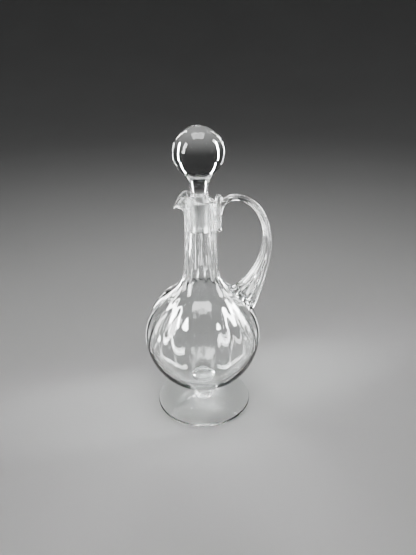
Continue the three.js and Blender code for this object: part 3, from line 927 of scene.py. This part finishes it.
bpy.context.scene.collection.objects.link(floor)


# Light: a soft box overhead lights jug and floor, and four more light the sweep around them.
# The other boxes and strips light the glass alone, so that its edges, flutes, ribs and reeds
# show bright while the floor stays even. Lengths are in metres and powers in watts.
JUG_MIDDLE = (0.0, 0.0, 0.2)
GLOBE_MIDDLE = (0.0, 0.0, 0.16)
FOOT_MIDDLE = (0.0, 0.0, 0.0)
OVERHEAD_PLACE = (0.0, -0.05, 1.05)
OVERHEAD_AIM = (0.0, -0.05, 0.0)
OVERHEAD_SIZE = (0.6, 0.45)
OVERHEAD_POWER = 5.2
TALL_BOXES = {  # place, size, power
    "left_soft_box": ((-1.2, -0.5, 0.75), (0.35, 1.0), 22.0),
    "right_soft_box": ((1.3, 0.2, 0.7), (0.3, 1.0), 18.0),
    "back_left_soft_box": ((-0.8, 1.3, 0.9), (0.1, 0.9), 7.0),
    "back_right_soft_box": ((0.9, 1.4, 0.9), (0.1, 0.9), 7.0),
}
LOW_STRIPS = {
    "low_left_strip": ((-0.55, 0.1, 0.2), (0.06, 0.36), 1.0),
    "low_back_left_strip": ((-0.3, 0.42, 0.16), (0.03, 0.3), 0.6),
    "low_right_strip": ((0.55, 0.1, 0.2), (0.06, 0.36), 1.0),
    "low_back_right_strip": ((0.3, 0.42, 0.16), (0.03, 0.3), 0.6),
}
SWEEP_BOX_OUT = 0.6
SWEEP_BOX_HEIGHT = 2.6
SWEEP_BOX_AIM_OUT = 2.8
SWEEP_BOX_AIM_HEIGHT = 0.4
SWEEP_BOX_SIZE = (2.0, 0.6)
SWEEP_BOX_POWER = 3.2
FOOT_STRIP_OUT = 0.7
FOOT_STRIP_HEIGHT = 0.06
FOOT_STRIP_SIZE = (0.9, 0.08)
FOUR_SIDES = {  # the way from the jug, and the foot strip's power
    "front": (0, -1, 4.0), "right": (1, 0, 1.2), "back": (0, 1, 1.2), "left": (-1, 0, 1.2)}
FLOOR_STRIP_COUNT = 12
FLOOR_STRIP_OUT = 0.45
FLOOR_STRIP_HEIGHT = 0.06
FLOOR_STRIP_AIM = (0.0, 0.0, 3.0)
FLOOR_STRIP_SIZE = (0.012, 0.66)
FLOOR_STRIP_POWER = 0.08
ROOM_COLOUR = (0.02, 0.021, 0.022, 1.0)
GLASS_BOUNCES = 32
GLOSS_BOUNCES = 16


def soft_box(name, place, aim, size, power, only=None):
    """A soft, plain lamp of a given width and height, turned towards a point."""
    lamp = bpy.data.lights.new(name, "AREA")
    lamp.shape = "RECTANGLE"
    lamp.size, lamp.size_y = size
    lamp.energy = power
    stand = bpy.data.objects.new(name, lamp)
    stand.location = place
    stand.rotation_euler = (Vector(aim) - Vector(place)).to_track_quat("-Z", "Y").to_euler()
    stand.visible_camera = False
    stand.light_linking.receiver_collection = only
    bpy.context.scene.collection.objects.link(stand)


def kept_to(name, *pieces):
    """The pieces that a lamp is kept to."""
    group = bpy.data.collections.new(name)
    for piece in pieces:
        group.objects.link(piece)
    return group


all_above_foot = kept_to("all_above_foot", stem, body, handle, stopper)
cut_and_reeded = kept_to("cut_and_reeded", body, handle)
foot_alone = kept_to("foot_alone", foot)
soft_box("overhead_soft_box", OVERHEAD_PLACE, OVERHEAD_AIM, OVERHEAD_SIZE, OVERHEAD_POWER)
for name, (place, size, power) in TALL_BOXES.items():
    soft_box(name, place, JUG_MIDDLE, size, power, all_above_foot)
for name, (place, size, power) in LOW_STRIPS.items():
    soft_box(name, place, GLOBE_MIDDLE, size, power, all_above_foot)
for side, (x, y, power) in FOUR_SIDES.items():
    soft_box(
        f"{side}_sweep_box", (SWEEP_BOX_OUT * x, SWEEP_BOX_OUT * y, SWEEP_BOX_HEIGHT),
        (SWEEP_BOX_AIM_OUT * x, SWEEP_BOX_AIM_OUT * y, SWEEP_BOX_AIM_HEIGHT),
        SWEEP_BOX_SIZE, SWEEP_BOX_POWER)
    soft_box(
        f"{side}_foot_strip", (FOOT_STRIP_OUT * x, FOOT_STRIP_OUT * y, FOOT_STRIP_HEIGHT),
        FOOT_MIDDLE, FOOT_STRIP_SIZE, power, foot_alone)
for k in range(FLOOR_STRIP_COUNT):
    way_round = 2 * math.pi * (k + 0.5) / FLOOR_STRIP_COUNT
    strip_x = FLOOR_STRIP_OUT * math.cos(way_round)
    strip_y = FLOOR_STRIP_OUT * math.sin(way_round)
    soft_box(
        f"floor_strip_{k + 1}", (strip_x, strip_y, FLOOR_STRIP_HEIGHT), FLOOR_STRIP_AIM,
        FLOOR_STRIP_SIZE, FLOOR_STRIP_POWER, cut_and_reeded)
room = bpy.data.worlds.new("dim_room")
room.use_nodes = True
room.node_tree.nodes["Background"].inputs["Color"].default_value = ROOM_COLOUR
room.node_tree.nodes["Background"].inputs["Strength"].default_value = 1.0
bpy.context.scene.world = room
bpy.context.scene.view_settings.look = "AgX - High Contrast"
cycles = bpy.context.scene.cycles
cycles.max_bounces = GLASS_BOUNCES
cycles.transmission_bounces = GLASS_BOUNCES
cycles.glossy_bounces = GLOSS_BOUNCES
cycles.blur_glossy = 0.0
cycles.sample_clamp_indirect = 0.0


# Camera: where the photograph was taken from, found from the ellipse of the foot and the
# globe's outline. It looks about 26 degrees down and leans by one degree.
CAMERA_PLACE = (6.67 * MM, -471.62 * MM, 379.35 * MM)
CAMERA_PITCH = math.radians(26)
CAMERA_ROLL = math.radians(1)
CAMERA_NEAR = 10 * MM
FOCAL_PIXELS = 520
FRAME_HEIGHT = 555
SENSOR_HEIGHT = 36.0

right = Vector((1.0, 0.0, 0.0))
down = Vector((0.0, -math.sin(CAMERA_PITCH), -math.cos(CAMERA_PITCH)))
ahead = Vector((0.0, math.cos(CAMERA_PITCH), -math.sin(CAMERA_PITCH)))
leaning_right = right * math.cos(CAMERA_ROLL) + down * math.sin(CAMERA_ROLL)
leaning_down = down * math.cos(CAMERA_ROLL) - right * math.sin(CAMERA_ROLL)
lens = bpy.data.cameras.new("photo_camera")
lens.sensor_width = SENSOR_HEIGHT  # the frame is upright, so its longer side is its height
lens.lens = FOCAL_PIXELS / FRAME_HEIGHT * SENSOR_HEIGHT
lens.clip_start = CAMERA_NEAR
camera = bpy.data.objects.new("photo_camera", lens)
camera.matrix_world = Matrix.Translation(CAMERA_PLACE) @ Matrix(
    (leaning_right, -leaning_down, -ahead)).transposed().to_4x4()
bpy.context.scene.collection.objects.link(camera)
bpy.context.scene.camera = camera
